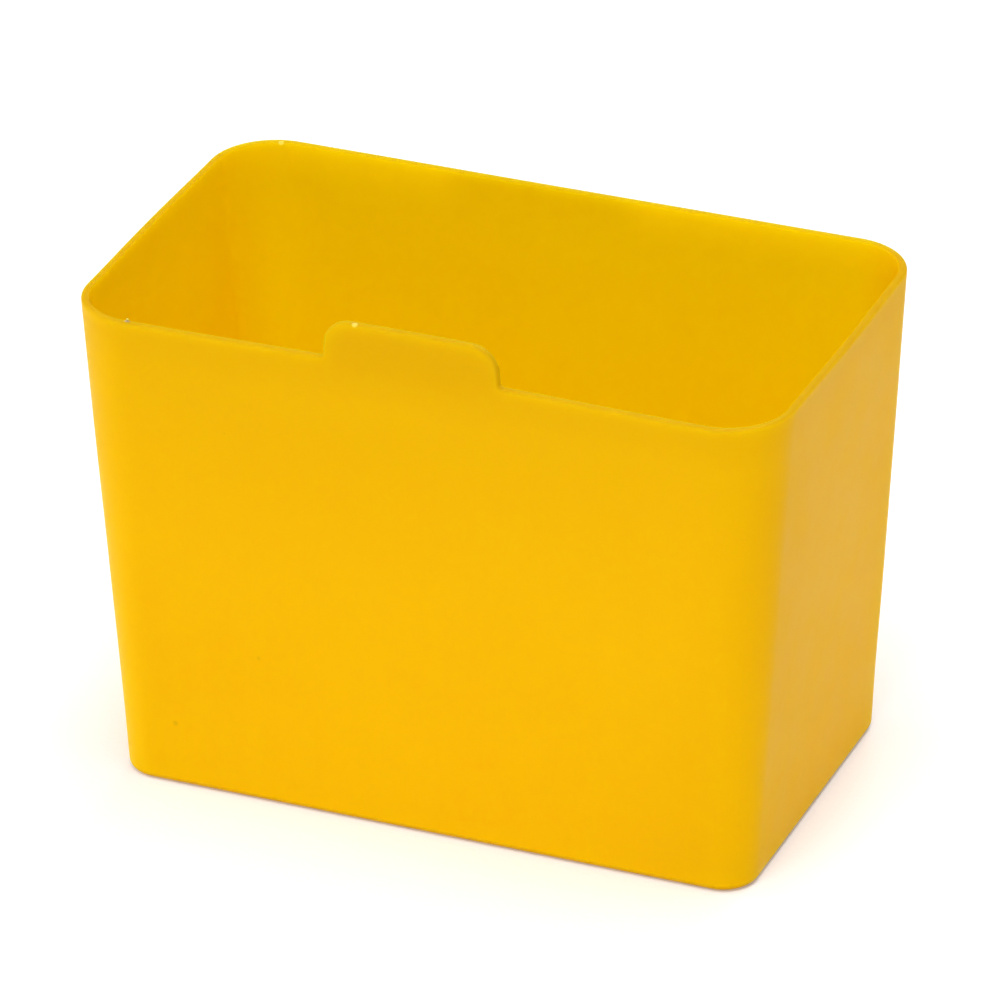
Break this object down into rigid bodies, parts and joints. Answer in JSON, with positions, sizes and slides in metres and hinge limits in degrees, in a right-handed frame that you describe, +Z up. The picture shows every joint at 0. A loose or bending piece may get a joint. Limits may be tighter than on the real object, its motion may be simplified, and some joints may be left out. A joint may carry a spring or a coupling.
{
  "type": "hanging parts bin",
  "caption": "Small deep parts bin with thin tapered walls, an open mouth with rounded corners, and a rounded tab standing up from the middle of one long rim.",
  "frame": {"origin": "middle of the base, on the surface that the bin stands on", "axes": "+Z up out of the open mouth, +X along the long walls, the wall with the tab faces -Y"},
  "size_m": [0.1084, 0.0628, 0.0823],
  "materials": {
    "bin_plastic": "satin moulded polypropylene, solid warm yellow, faintly translucent at the thin rim"
  },
  "bodies": {
    "root": {"bin_body": "bin_plastic"}
  },
  "joints": []
}
